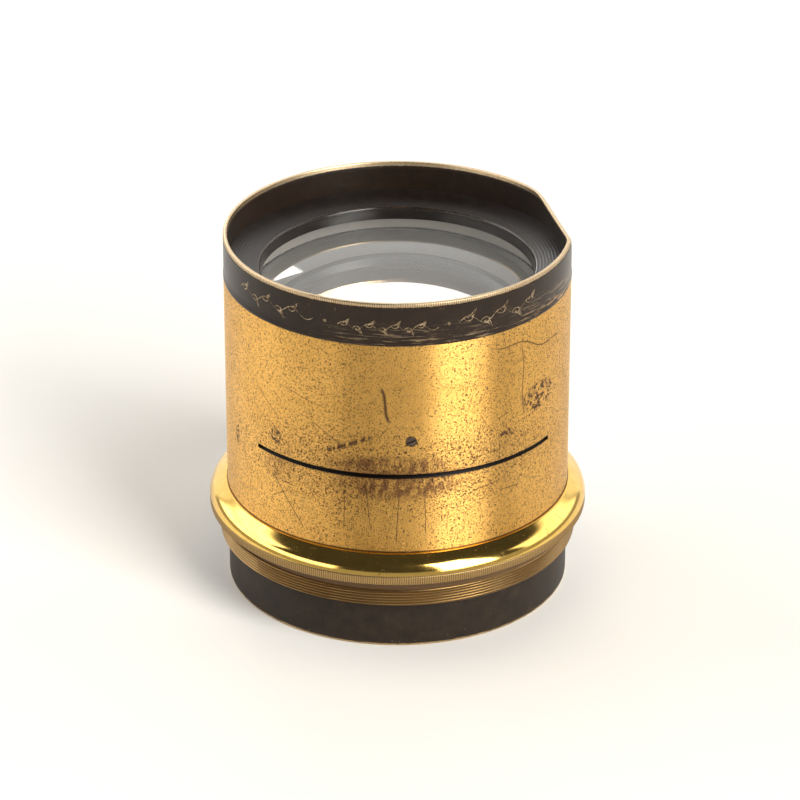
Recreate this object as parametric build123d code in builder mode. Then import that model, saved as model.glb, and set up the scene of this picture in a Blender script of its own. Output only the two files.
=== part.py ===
from build123d import *
from math import asin, cos, degrees, radians, sin, sqrt
import os

# A brass barrel lens with a slot for loose stops, standing on its rear cell.
# Millimetres. Z is the optical axis, with the front of the lens up.
# The origin is the centre of the rear rim, and the stop slot faces -Y.

# ---- driving dimensions ----
total_height = 108.25
running_gap = 0.10
fit_gap = 0.04

# barrel tube
tube_r = 50.0
tube_bore_r = 48.0
tube_top = 95.42
tube_foot = 14.17
tube_spigot_r = 49.0
tube_shoulder = 24.0

# stop slot
slot_low = 54.02
slot_high = 55.35
slot_half_width = 41.45
slot_depth_y = 20.0
stop_plane = (slot_low + slot_high) / 2

# mount ring
ring_top = 30.48
ring_lip_width = 0.4
bead_r = 55.26
bead_shoulder = (53.44, 28.53)
bead_cheek = (54.54, 28.05)
bead_foot = 25.23
step_groove = 0.22
knurl_foot = 22.64
thread_land_r = 51.7
thread_r = 52.28
thread_top = 19.4
thread_chamfer = 0.35

# front hood
hood_r = 49.96
bead_rim_r = 49.90
hood_bore_r = 48.5
hood_foot_ridge = 0.16
hood_foot_edge = 0.06
hood_ridge_middle = 0.5
hood_ridge_height = 1.2
rim_wall = 1.2
rim_height = 1.1
rim_groove = 0.2
dent_azimuth = 9.5
dent_top_distance = 46.7
dent_fade_height = 9.0

# lens cells, described for the front and mirrored in the stop plane for the rear
lip_r = 39.4
lip_top = 97.75
lip_round = 0.7
shoulder_top = 99.6
cell_seat = 93.95
cell_bore_r = 41.6
cell_relief_r = 46.8
cell_thread_length = 6.0
cell_end = 70.05
ring_bore_r = 42.6
ring_bore_top = 73.6

# rear cell
rear_cell_r = 49.84
rear_bore_r = 47.6
rear_edge_round = 0.5

# cemented glass group: vertex height and radius of each surface, front to back
glass_r = 41.5
glass_flat_r = 41.0
cement_gap = 0.04
surface_vertices = [99.30, 94.00, 87.00, 81.00, 75.00]
surface_radii = [147.0, 118.0, 150.0, 200.0, 260.0]

# retaining rings
retainer_inner_r = 38.6
retainer_height = 1.6
spanner_slot = 2.0
spanner_depth = 0.7

# stop guide
plate_thickness = 1.2
stop_aperture_r = 31.0
rail_inner = 41.7
guide_r = tube_bore_r - fit_gap
carrier_bore_r = 44.5
carrier_height = 13.4
plate_screw_radius = 45.9
plate_screw_azimuths = [-20, 35, 90, 145, 200]
plate_screw_r = 0.8
plate_screw_head_r = 1.5
plate_screw_head = 0.7
plate_screw_length = 7.0

# barrel screws
barrel_screw_z = 65.7
barrel_screw_azimuths = [-89, 31, 151]
barrel_screw_head_r = 1.5
barrel_screw_head = 0.8
barrel_screw_r = 0.9
barrel_screw_length = 3.6
driver_slot = 0.45
driver_slot_depth = 0.4


def sag(radius, distance):
    """Drop of a sphere of this radius at this distance from its axis."""
    return radius - sqrt(radius**2 - distance**2)


def mirrored(height):
    """The height on the other side of the stop plane."""
    return 2 * stop_plane - height


def radial_plane(azimuth, height):
    """A plane that touches the tube, with its normal pointing outward."""
    angle = radians(azimuth)
    outward = (cos(angle), sin(angle), 0)
    origin = (tube_r * cos(angle), tube_r * sin(angle), height)
    return Plane(origin=origin, x_dir=(-sin(angle), cos(angle), 0), z_dir=outward)


def write(part, name):
    """Label a finished piece and write its STEP file."""
    part.label = name
    export_step(part, f"parts/{name}.step")


os.makedirs("parts", exist_ok=True)

# ---- barrel tube: plain tube with a shoulder, the slot and three screw holes ----
with BuildPart() as barrel_tube:
    with BuildSketch(Plane.XZ):
        with BuildLine():
            Polyline(
                (tube_bore_r, tube_foot),
                (tube_spigot_r, tube_foot),
                (tube_spigot_r, tube_shoulder),
                (tube_r, tube_shoulder),
                (tube_r, tube_top),
                (tube_bore_r, tube_top),
                close=True,
            )
        make_face()
    revolve(axis=Axis.Z)
    with BuildSketch(Plane.XY.offset(slot_low)):
        with Locations((0, -slot_depth_y)):
            Rectangle(2 * slot_half_width, tube_r, align=(Align.CENTER, Align.MAX))
    extrude(amount=slot_high - slot_low, mode=Mode.SUBTRACT)
    for azimuth in barrel_screw_azimuths:
        with BuildSketch(radial_plane(azimuth, barrel_screw_z)):
            Circle(barrel_screw_r + fit_gap)
        extrude(amount=-2 * (tube_r - tube_bore_r), mode=Mode.SUBTRACT)
        with BuildSketch(radial_plane(azimuth, barrel_screw_z)):
            Circle(barrel_screw_head_r + fit_gap)
        extrude(amount=-barrel_screw_head, mode=Mode.SUBTRACT)
write(barrel_tube.part, "barrel_tube")

# ---- mount ring: rounded bead, knurled band, plain land and thread at its major diameter ----
with BuildPart() as mount_ring:
    with BuildSketch(Plane.XZ):
        with BuildLine():
            bead_start = (tube_r + fit_gap + ring_lip_width, ring_top)
            bead_end = (bead_r, bead_foot + step_groove)
            Polyline(
                (tube_spigot_r + fit_gap, tube_foot),
                (tube_spigot_r + fit_gap, tube_shoulder),
                (tube_r + fit_gap, tube_shoulder),
                (tube_r + fit_gap, ring_top),
                bead_start,
            )
            Bezier(bead_start, bead_shoulder, bead_cheek, bead_end)
            Polyline(
                bead_end,
                (bead_r - step_groove, bead_foot + step_groove),
                (bead_r - step_groove, bead_foot),
                (bead_r, bead_foot),
                (bead_r, knurl_foot),
                (thread_land_r, knurl_foot),
                (thread_land_r, thread_top),
                (thread_r, thread_top),
                (thread_r, tube_foot + thread_chamfer),
                (thread_r - thread_chamfer, tube_foot),
                (tube_spigot_r + fit_gap, tube_foot),
            )
        make_face()
    revolve(axis=Axis.Z)
write(mount_ring.part, "mount_ring")

# ---- front hood: thin band with a rounded foot and a beaded rim; one side of the rim is knocked flat ----
dent_depth = hood_r - dent_top_distance
dent_tilt = degrees(asin(dent_depth / sqrt(dent_depth**2 + dent_fade_height**2)))
dent_angle = radians(dent_azimuth)
dent_normal = (
    cos(dent_angle) * cos(radians(dent_tilt)),
    sin(dent_angle) * cos(radians(dent_tilt)),
    sin(radians(dent_tilt)),
)
dent_origin = (
    dent_top_distance * cos(dent_angle),
    dent_top_distance * sin(dent_angle),
    total_height,
)
dent_plane = Plane(origin=dent_origin, x_dir=(-sin(dent_angle), cos(dent_angle), 0), z_dir=dent_normal)
hood_wall_low = shoulder_top + 0.3

with BuildPart() as dent_wall:
    with BuildSketch(dent_plane):
        Rectangle(tube_r, tube_r)
    extrude(amount=-rim_wall)
    with BuildSketch(Plane.XY.offset(hood_wall_low)):
        Circle(bead_rim_r)
    extrude(amount=total_height - hood_wall_low, mode=Mode.INTERSECT)

with BuildPart() as front_hood:
    with BuildSketch(Plane.XZ):
        with BuildLine():
            ThreePointArc(
                (hood_r + hood_foot_edge, tube_top),
                (hood_r + hood_foot_ridge, tube_top + hood_ridge_middle),
                (hood_r, tube_top + hood_ridge_height),
            )
            Polyline(
                (hood_r, tube_top + hood_ridge_height),
                (hood_r, total_height - rim_height - rim_groove),
                (bead_rim_r - rim_groove, total_height - rim_height),
                (bead_rim_r, total_height - rim_height + rim_groove),
                (bead_rim_r, total_height - rim_groove),
                (bead_rim_r - rim_groove, total_height),
                (hood_r - rim_wall, total_height),
                (hood_bore_r, total_height - rim_height),
                (hood_bore_r, tube_top),
                (hood_r + hood_foot_edge, tube_top),
            )
        make_face()
    revolve(axis=Axis.Z)
    with BuildSketch(dent_plane):
        Rectangle(tube_r, tube_r)
    extrude(amount=dent_depth + hood_foot_ridge, mode=Mode.SUBTRACT)
    add(dent_wall.part)
write(front_hood.part, "front_hood")

# ---- front lens cell: grooved shoulder and lip in front, thread land and long bore behind ----
with BuildPart() as front_lens_cell:
    with BuildSketch(Plane.XZ) as front_cell_profile:
        with BuildLine():
            Polyline(
                (lip_r, cell_seat),
                (lip_r, lip_top),
                (hood_bore_r - fit_gap, shoulder_top),
                (hood_bore_r - fit_gap, tube_top),
                (tube_bore_r - running_gap, tube_top),
                (tube_bore_r - running_gap, tube_top - cell_thread_length),
                (cell_relief_r, tube_top - cell_thread_length),
                (cell_relief_r, cell_end),
                (ring_bore_r, cell_end),
                (ring_bore_r, ring_bore_top),
                (cell_bore_r, ring_bore_top),
                (cell_bore_r, cell_seat),
                close=True,
            )
        make_face()
        lip_corner = front_cell_profile.vertices().sort_by(Axis.X)[:2].sort_by(Axis.Z)[-1]
        fillet(lip_corner, radius=lip_round)
    revolve(axis=Axis.Z)
write(front_lens_cell.part, "front_lens_cell")

# ---- rear lens cell: the same bore mirrored in the stop plane, with the rear rim in one piece ----
with BuildPart() as rear_lens_cell:
    with BuildSketch(Plane.XZ) as rear_cell_profile:
        with BuildLine():
            Polyline(
                (lip_r, mirrored(cell_seat)),
                (lip_r, mirrored(lip_top)),
                (rear_bore_r, mirrored(shoulder_top)),
                (rear_bore_r, 0),
                (rear_cell_r - rear_edge_round, 0),
                (rear_cell_r, rear_edge_round),
                (rear_cell_r, tube_foot),
                (tube_bore_r - running_gap, tube_foot),
                (tube_bore_r - running_gap, tube_foot + cell_thread_length),
                (cell_relief_r, tube_foot + cell_thread_length),
                (cell_relief_r, mirrored(cell_end)),
                (ring_bore_r, mirrored(cell_end)),
                (ring_bore_r, mirrored(ring_bore_top)),
                (cell_bore_r, mirrored(ring_bore_top)),
                (cell_bore_r, mirrored(cell_seat)),
                close=True,
            )
        make_face()
        lip_corner = rear_cell_profile.vertices().sort_by(Axis.X)[:2].sort_by(Axis.Z)[0]
        fillet(lip_corner, radius=lip_round)
    revolve(axis=Axis.Z)
write(rear_lens_cell.part, "rear_lens_cell")

# ---- glass: four cemented elements at each end, the rear ones mirrored in the stop plane ----
for number in range(1, 5):
    top_vertex = surface_vertices[number - 1]
    top_radius = surface_radii[number - 1]
    low_vertex = surface_vertices[number]
    low_radius = surface_radii[number]
    if number > 1:
        top_vertex = top_vertex - cement_gap
    low_edge_r = glass_flat_r if number == 4 else glass_r
    with BuildPart() as element:
        with BuildSketch(Plane.XZ):
            with BuildLine():
                top_edge = (glass_r, top_vertex - sag(top_radius, glass_r))
                low_edge = (low_edge_r, low_vertex - sag(low_radius, low_edge_r))
                top_middle = (glass_r / 2, top_vertex - sag(top_radius, glass_r / 2))
                low_middle = (low_edge_r / 2, low_vertex - sag(low_radius, low_edge_r / 2))
                ThreePointArc((0, top_vertex), top_middle, top_edge)
                Line(top_edge, (glass_r, low_edge[1]))
                if number == 4:
                    Line((glass_r, low_edge[1]), low_edge)
                ThreePointArc(low_edge, low_middle, (0, low_vertex))
                Line((0, low_vertex), (0, top_vertex))
            make_face()
        revolve(axis=Axis.Z)
    write(element.part, f"front_glass_{number}")
    with BuildPart() as rear_element:
        mirror(element.part, about=Plane.XY.offset(stop_plane))
    write(rear_element.part, f"rear_glass_{number}")

# ---- retaining rings: threaded rings behind the glass, with two spanner slots ----
retainer_top = surface_vertices[4] - sag(surface_radii[4], glass_flat_r)
with BuildPart() as front_retaining_ring:
    with BuildSketch(Plane.XY.offset(retainer_top - retainer_height)):
        Circle(ring_bore_r - running_gap)
        Circle(retainer_inner_r, mode=Mode.SUBTRACT)
    extrude(amount=retainer_height)
    with BuildSketch(Plane.XY.offset(retainer_top - retainer_height)):
        Rectangle(2 * ring_bore_r, spanner_slot)
    extrude(amount=spanner_depth, mode=Mode.SUBTRACT)
write(front_retaining_ring.part, "front_retaining_ring")

with BuildPart() as rear_retaining_ring:
    mirror(front_retaining_ring.part, about=Plane.XY.offset(stop_plane))
write(rear_retaining_ring.part, "rear_retaining_ring")

# ---- stop guide: two annular plates with a U-shaped rail between them ----
plate_screw_places = [
    (plate_screw_radius * cos(radians(a)), plate_screw_radius * sin(radians(a)))
    for a in plate_screw_azimuths
]

with BuildPart() as stop_plate_front:
    with BuildSketch(Plane.XY.offset(slot_high)):
        Circle(guide_r)
        Circle(stop_aperture_r, mode=Mode.SUBTRACT)
        with Locations(*plate_screw_places):
            Circle(plate_screw_r + fit_gap, mode=Mode.SUBTRACT)
    extrude(amount=plate_thickness)
write(stop_plate_front.part, "stop_plate_front")

with BuildPart() as stop_plate_rear:
    with BuildSketch(Plane.XY.offset(slot_low - plate_thickness)):
        Circle(guide_r)
        Circle(stop_aperture_r, mode=Mode.SUBTRACT)
        with Locations(*plate_screw_places):
            Circle(plate_screw_r + fit_gap, mode=Mode.SUBTRACT)
    extrude(amount=plate_thickness)
    with BuildSketch(Plane.XY.offset(slot_low - plate_thickness)):
        with Locations(*plate_screw_places):
            Circle(plate_screw_head_r + fit_gap)
    extrude(amount=plate_screw_head, mode=Mode.SUBTRACT)
write(stop_plate_rear.part, "stop_plate_rear")

with BuildPart() as stop_rail:
    with BuildSketch(Plane.XY.offset(slot_low)):
        Circle(guide_r)
        Circle(rail_inner, mode=Mode.SUBTRACT)
        Rectangle(2 * rail_inner, tube_r, align=(Align.CENTER, Align.MAX), mode=Mode.SUBTRACT)
        with Locations(*plate_screw_places):
            Circle(plate_screw_r + fit_gap, mode=Mode.SUBTRACT)
    extrude(amount=slot_high - slot_low)
write(stop_rail.part, "stop_rail")

# ---- carrier ring: carries the plates and takes the screws from outside ----
carrier_foot = slot_high + plate_thickness
screw_top = slot_low - plate_thickness + plate_screw_length
with BuildPart() as stop_carrier_ring:
    with BuildSketch(Plane.XY.offset(carrier_foot)):
        Circle(guide_r)
        Circle(carrier_bore_r, mode=Mode.SUBTRACT)
    extrude(amount=carrier_height)
    with BuildSketch(Plane.XY.offset(carrier_foot)):
        with Locations(*plate_screw_places):
            Circle(plate_screw_r + fit_gap)
    extrude(amount=screw_top - carrier_foot + fit_gap, mode=Mode.SUBTRACT)
    for azimuth in barrel_screw_azimuths:
        with BuildSketch(radial_plane(azimuth, barrel_screw_z)):
            Circle(barrel_screw_r + fit_gap)
        extrude(amount=carrier_bore_r - tube_r - 1, mode=Mode.SUBTRACT)
write(stop_carrier_ring.part, "stop_carrier_ring")

# ---- screws ----
with BuildPart() as stop_plate_screws:
    with BuildSketch(Plane.XY.offset(slot_low - plate_thickness)):
        with Locations(*plate_screw_places):
            Circle(plate_screw_r)
    extrude(amount=plate_screw_length)
    with BuildSketch(Plane.XY.offset(slot_low - plate_thickness)):
        with Locations(*plate_screw_places):
            Circle(plate_screw_head_r)
    extrude(amount=plate_screw_head)
    with BuildSketch(Plane.XY.offset(slot_low - plate_thickness)):
        with Locations(*plate_screw_places):
            Rectangle(2 * plate_screw_head_r + 1, driver_slot)
    extrude(amount=driver_slot_depth, mode=Mode.SUBTRACT)
write(stop_plate_screws.part, "stop_plate_screws")

with BuildPart() as barrel_screws:
    for azimuth in barrel_screw_azimuths:
        head_plane = radial_plane(azimuth, barrel_screw_z)
        with BuildSketch(head_plane):
            Circle(barrel_screw_head_r)
        extrude(amount=-barrel_screw_head)
        with BuildSketch(head_plane):
            Circle(barrel_screw_r)
        extrude(amount=-barrel_screw_length)
        with BuildSketch(head_plane):
            Rectangle(2 * barrel_screw_head_r + 1, driver_slot, rotation=20)
        extrude(amount=-driver_slot_depth, mode=Mode.SUBTRACT)
write(barrel_screws.part, "barrel_screws")
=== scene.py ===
"""Looks of the brass barrel lens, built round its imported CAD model. Metres, Z up, slot towards -Y.

Outlines and materials are written in millimetres, and MM turns an outline into metres.
"""
import math

import bmesh
import bpy
import numpy as np
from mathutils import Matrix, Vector

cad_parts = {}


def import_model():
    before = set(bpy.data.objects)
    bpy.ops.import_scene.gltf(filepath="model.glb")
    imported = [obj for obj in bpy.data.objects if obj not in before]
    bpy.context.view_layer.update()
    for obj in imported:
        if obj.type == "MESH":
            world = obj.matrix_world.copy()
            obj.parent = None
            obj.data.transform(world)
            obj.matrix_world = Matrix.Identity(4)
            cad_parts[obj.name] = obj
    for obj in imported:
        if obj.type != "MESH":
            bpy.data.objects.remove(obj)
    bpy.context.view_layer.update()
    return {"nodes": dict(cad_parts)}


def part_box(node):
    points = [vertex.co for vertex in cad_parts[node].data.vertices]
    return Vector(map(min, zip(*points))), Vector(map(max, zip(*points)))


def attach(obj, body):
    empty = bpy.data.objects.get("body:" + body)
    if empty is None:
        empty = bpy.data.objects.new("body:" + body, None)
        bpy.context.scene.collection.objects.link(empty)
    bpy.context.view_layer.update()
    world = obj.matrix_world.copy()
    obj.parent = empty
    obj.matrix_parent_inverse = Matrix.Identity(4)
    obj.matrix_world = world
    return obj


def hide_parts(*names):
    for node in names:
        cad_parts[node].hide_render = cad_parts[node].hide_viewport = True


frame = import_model()

MM = 0.001
TAU = 2 * math.pi

# ---- sizes in metres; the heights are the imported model's own ----
tube_low, tube_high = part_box("barrel_tube")
ring_low, ring_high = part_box("mount_ring")
hood_low, hood_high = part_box("front_hood")
guide_low, guide_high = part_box("stop_rail")

TUBE_R = 50.00 * MM
TUBE_BORE = 48.00 * MM
TUBE_TOP = tube_high.z
TUBE_FOOT = tube_low.z
SPIGOT_R = 49.00 * MM  # the tube's thinner foot, inside the mount ring
SHOULDER_Z = 24.00 * MM
SLOT_LOW = guide_low.z
SLOT_HIGH = guide_high.z
SLOT_HALF = 41.45 * MM  # half the slot's straight width
STOP_PLANE = (SLOT_LOW + SLOT_HIGH) / 2
RING_TOP = ring_high.z
HOOD_TOP = hood_high.z
HOOD_R = 49.96 * MM
DENT_R = 46.75 * MM  # from the axis to the flat of the dent
DENT_DEEP = 10.5 * MM  # how far down the band the dent reaches
SCREW_Z = 65.70 * MM

# ---- sizes in millimetres ----
GIRTH = 50.0  # round the tube, to a radian
MIRROR = 2 * STOP_PLANE / MM  # the rear half is the front half at MIRROR - z
SLEEVE_BORE, SLEEVE_FOOT, SLEEVE_TOP = 49.04, 14.17, 22.0
NECK_R = 51.70
THREAD_R, THREAD_DEPTH, THREAD_TOP = 52.26, 0.46, 19.40
BAND_FOOT, BAND_R = 22.64, 55.26
BEAD_TOP = 30.48
BEAD_GUIDES = [(50.44, BEAD_TOP), (53.44, 28.53), (54.54, 28.05), (BAND_R, 25.45)]
HOOD_BORE, HOOD_FOOT = 48.50, 95.42
LIP_R, CELL_SEAT, CELL_END = 39.40, 93.95, 70.05
BODY_BORE, BODY_R = 41.6, 46.8
NUT_BORE, NUT_TOP = 42.6, 73.6
REAR_R, REAR_BORE = 49.84, 47.6
FRONT_FACE_R, FRONT_VERTEX = 147.0, 99.30
REAR_FACE_R, REAR_VERTEX = 260.0, 75.0
GLASS_R, GLASS_FLAT_R = 41.5, 41.0

# ---- counts and directions ----
SCREW_AZIMUTHS = (-89.0, 31.0, 151.0)  # degrees from +X
DENT_AZIMUTH = math.radians(9.5)  # from +X
RIDGES = 534  # of the straight knurl
MILLING = 480  # notches of the hood's rim
THREAD_TURNS = 6


# ---------------------------------------------------------------- mesh tools
def new_object(name, vertices, faces, body, slot, *nodes):
    """A mesh object that rides on a body and stands for CAD nodes; its slot argument is not used."""
    mesh = bpy.data.meshes.new(name)
    mesh.from_pydata([tuple(v) for v in vertices], [], faces)
    mesh.validate()
    mesh.update()
    obj = bpy.data.objects.new(name, mesh)
    bpy.context.scene.collection.objects.link(obj)
    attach(obj, body)
    if nodes:
        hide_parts(*nodes)
    return obj


def smooth(obj, degrees=28):
    """Smooth shading, with edges sharper than this angle kept sharp."""
    obj.data.polygons.foreach_set("use_smooth", [True] * len(obj.data.polygons))
    obj.data.set_sharp_from_angle(angle=math.radians(degrees))
    return obj


def in_metres(outline):
    """(r, z) points in millimetres as an array in metres."""
    return np.array([(r * MM, z * MM) for r, z in outline])


def bezier(guides, steps):
    """Points of a cubic curve from the first guide to the last."""
    points = []
    for k in range(steps + 1):
        t = k / steps
        weights = [(1 - t) ** 3, 3 * t * (1 - t) ** 2, 3 * t**2 * (1 - t), t**3]
        points.append(tuple(sum(w * guide[i] for w, guide in zip(weights, guides)) for i in (0, 1)))
    return points


def rounded(outline, steps=5):
    """A closed (r, z, radius) outline in millimetres to (r, z) in metres, with rounded corners."""
    points = []
    count = len(outline)
    for i, (r, z, radius) in enumerate(outline):
        here = Vector((r, z))
        before = Vector(outline[i - 1][:2])
        after = Vector(outline[(i + 1) % count][:2])
        if radius <= 0:
            points.append((r * MM, z * MM))
            continue
        a = (before - here).normalized()
        b = (after - here).normalized()
        half = math.acos(max(-1, min(1, a.dot(b)))) / 2
        reach = min(radius / math.tan(half), 0.49 * (before - here).length,
                    0.49 * (after - here).length)
        start = here + a * reach
        end = here + b * reach
        for k in range(steps + 1):
            t = k / steps
            p = (1 - t) ** 2 * start + 2 * t * (1 - t) * here + t**2 * end
            points.append((p.x * MM, p.y * MM))
    return points


def ring_grid(profile_at, rows, columns):
    """Vertices and quads of a closed ring; profile_at(angles) gives (rows, columns, 2) of r and z."""
    angles = np.arange(columns) * TAU / columns
    rz = profile_at(angles)
    x = rz[..., 0] * np.sin(angles)
    y = -rz[..., 0] * np.cos(angles)
    vertices = np.stack([x, y, rz[..., 1]], -1).reshape(-1, 3)
    faces = []
    for i in range(rows):
        a = i * columns
        b = ((i + 1) % rows) * columns
        for j in range(columns):
            k = (j + 1) % columns
            faces.append((a + j, a + k, b + k, b + j))
    return vertices, faces


def lathe(name, profile, columns, body, slot, *nodes):
    """A ring turned from a closed (r, z) outline that runs anticlockwise."""
    rz = np.array(profile)[:, None, :].repeat(columns, 1)
    vertices, faces = ring_grid(lambda angles: rz, len(profile), columns)
    return smooth(new_object(name, vertices, faces, body, slot, *nodes))


def notched(outline, depths, count):
    """A profile for ring_grid whose rows dip by these depths in millimetres, count times round."""
    def profile(angles):
        rz = outline[:, None, :].repeat(len(angles), 1)
        wave = 0.5 - 0.5 * np.sin(angles * count)
        rz[..., 0] -= depths[:, None] * wave[None, :] * MM
        return rz

    return profile


def face_outwards(mesh):
    """Turns a closed mesh's faces outwards."""
    work = bmesh.new()
    work.from_mesh(mesh)
    bmesh.ops.recalc_face_normals(work, faces=work.faces)
    work.to_mesh(mesh)
    work.free()


def apply_modifiers(obj):
    """Gives the object the mesh that its modifiers make."""
    graph = bpy.context.evaluated_depsgraph_get()
    done = bpy.data.meshes.new_from_object(obj.evaluated_get(graph))
    obj.modifiers.clear()
    old = obj.data
    obj.data = done
    bpy.data.meshes.remove(old)


# ---------------------------------------------------------------- node tools
class Graph:
    """Short calls for building one material's node tree.

    Lengths are millimetres, and azimuths run from the slot's middle (-Y) towards +X.
    """

    def __init__(self, name, room=False):
        self.material = (bpy.data.worlds if room else bpy.data.materials).new(name)
        self.material.use_nodes = True
        self.tree = self.material.node_tree
        self.tree.nodes.clear()
        self.output = self.add("ShaderNodeOutputWorld" if room else "ShaderNodeOutputMaterial")
        place = self.add("ShaderNodeTexCoord").outputs["Generated" if room else "Object"]
        self.position = place if room else self.scaled(place, 1 / MM)
        split = self.add("ShaderNodeSeparateXYZ")
        self.link(self.position, split.inputs[0])
        self.x, self.y, self.z = split.outputs
        self.azimuth = self.math("ARCTAN2", self.x, self.times(self.y, -1.0))
        square = self.plus(self.times(self.x, self.x), self.times(self.y, self.y))
        self.radius = self.math("SQRT", square)

    def add(self, kind, **values):
        node = self.tree.nodes.new(kind)
        for key, value in values.items():
            setattr(node, key, value)
        return node

    def link(self, source, socket):
        if isinstance(source, (int, float, tuple, list)):
            socket.default_value = source
        else:
            self.tree.links.new(source, socket)

    def math(self, operation, a, b=0.0):
        node = self.add("ShaderNodeMath", operation=operation)
        self.link(a, node.inputs[0])
        self.link(b, node.inputs[1])
        return node.outputs[0]

    def plus(self, a, b):
        return self.math("ADD", a, b)

    def minus(self, a, b):
        return self.math("SUBTRACT", a, b)

    def times(self, *values):
        product = values[0]
        for value in values[1:]:
            product = self.math("MULTIPLY", product, value)
        return product

    def scaled(self, vector, scale):
        node = self.add("ShaderNodeVectorMath", operation="SCALE")
        self.link(vector, node.inputs[0])
        self.link(scale, node.inputs["Scale"])
        return node.outputs[0]

    def combine(self, x, y, z):
        node = self.add("ShaderNodeCombineXYZ")
        for value, socket in zip((x, y, z), node.inputs):
            self.link(value, socket)
        return node.outputs[0]

    def noise(self, vector, scale, detail=3.0, rough=0.55):
        node = self.add("ShaderNodeTexNoise")
        self.link(vector, node.inputs["Vector"])
        node.inputs["Scale"].default_value = scale
        node.inputs["Detail"].default_value = detail
        node.inputs["Roughness"].default_value = rough
        return node.outputs["Fac"]

    def cells(self, vector, scale):
        """Distance to the nearest of a field of random points."""
        node = self.add("ShaderNodeTexVoronoi")
        self.link(vector, node.inputs["Vector"])
        node.inputs["Scale"].default_value = scale
        return node.outputs["Distance"]

    def steps(self, value, low, high, to_low=0.0, to_high=1.0):
        """value mapped smoothly from low..high to to_low..to_high, clamped."""
        node = self.add("ShaderNodeMapRange", interpolation_type="SMOOTHSTEP")
        for v, s in zip((value, low, high, to_low, to_high), node.inputs):
            self.link(v, s)
        return node.outputs[0]

    def fall(self, value, low, high):
        """1 below low, falling smoothly to 0 at high."""
        return self.steps(value, low, high, 1.0, 0.0)

    def near(self, value, centre, inner, outer):
        """1 within inner of centre, falling smoothly to 0 at outer."""
        return self.fall(self.math("ABSOLUTE", self.minus(value, centre)), inner, outer)

    def ramp(self, value, stops):
        """Colours between (place, colour) stops."""
        node = self.add("ShaderNodeValToRGB")
        elements = node.color_ramp.elements
        while len(elements) < len(stops):
            elements.new(0.5)
        for element, (place, colour) in zip(elements, stops):
            element.position = place
            element.color = (*colour, 1.0)
        self.link(value, node.inputs[0])
        return node.outputs[0]

    def mix(self, factor, a, b):
        """Colours mixed."""
        node = self.add("ShaderNodeMix", data_type="RGBA")
        self.link(factor, node.inputs["Factor"])
        for value, socket in ((a, node.inputs["A"]), (b, node.inputs["B"])):
            self.link((*value, 1.0) if isinstance(value, tuple) else value, socket)
        return node.outputs["Result"]

    def blend(self, factor, a, b):
        """Plain numbers mixed."""
        node = self.add("ShaderNodeMix", data_type="FLOAT")
        self.link(factor, node.inputs["Factor"])
        self.link(a, node.inputs["A"])
        self.link(b, node.inputs["B"])
        return node.outputs["Result"]

    def largest(self, *values):
        most = values[0]
        for value in values[1:]:
            most = self.math("MAXIMUM", most, value)
        return most

    def bump(self, height, strength, distance):
        """A bumped normal; distance is in metres."""
        node = self.add("ShaderNodeBump")
        node.inputs["Strength"].default_value = strength
        node.inputs["Distance"].default_value = distance
        self.link(height, node.inputs["Height"])
        return node.outputs[0]

    def surface(self, colour, rough, metal, normal=None, turned=0.0, **plain):
        """The finished surface; turned is how far turning marks spread a highlight along the axis."""
        node = self.add("ShaderNodeBsdfPrincipled")
        if turned:
            around = self.add("ShaderNodeTangent", direction_type="RADIAL", axis="Z")
            self.link(around.outputs[0], node.inputs["Tangent"])
            node.inputs["Anisotropic"].default_value = turned
            node.inputs["Anisotropic Rotation"].default_value = 0.25
        self.link((*colour, 1.0) if isinstance(colour, tuple) else colour, node.inputs["Base Color"])
        self.link(rough, node.inputs["Roughness"])
        self.link(metal, node.inputs["Metallic"])
        if normal is not None:
            self.link(normal, node.inputs["Normal"])
        for key, value in plain.items():
            node.inputs[key.replace("_", " ")].default_value = value
        self.link(node.outputs[0], self.output.inputs["Surface"])
        return self.material

    def across(self, azimuth):
        """Millimetres round the tube from an azimuth in degrees."""
        return self.times(self.minus(self.azimuth, math.radians(azimuth)), GIRTH)

    def patch(self, azimuth, height, half_width, half_height, softness=1.0):
        """A soft elliptical patch on the outside of the barrel, 1 at its middle."""
        across = self.math("DIVIDE", self.across(azimuth), half_width)
        along = self.math("DIVIDE", self.minus(self.z, height), half_height)
        square = self.plus(self.times(across, across), self.times(along, along))
        return self.fall(square, 0.0, softness)

    def patches(self, table):
        return self.largest(*[self.patch(*row) for row in table])

    def scratch(self, azimuth, height, tilt, half_length, width, wave=0.0):
        """A thin line on the outside of the barrel; tilt is from horizontal, in degrees."""
        across = self.across(azimuth)
        along = self.minus(self.z, height)
        c, s = math.cos(math.radians(tilt)), math.sin(math.radians(tilt))
        u = self.plus(self.times(across, c), self.times(along, s))
        v = self.minus(self.times(along, c), self.times(across, s))
        if wave:
            v = self.plus(v, self.times(self.math("SINE", self.times(u, 0.35)), wave))
        line = self.fall(self.math("ABSOLUTE", v), 0.0, width)
        reach = self.fall(self.math("ABSOLUTE", u), half_length * 0.7, half_length)
        return self.times(line, reach)


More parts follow.
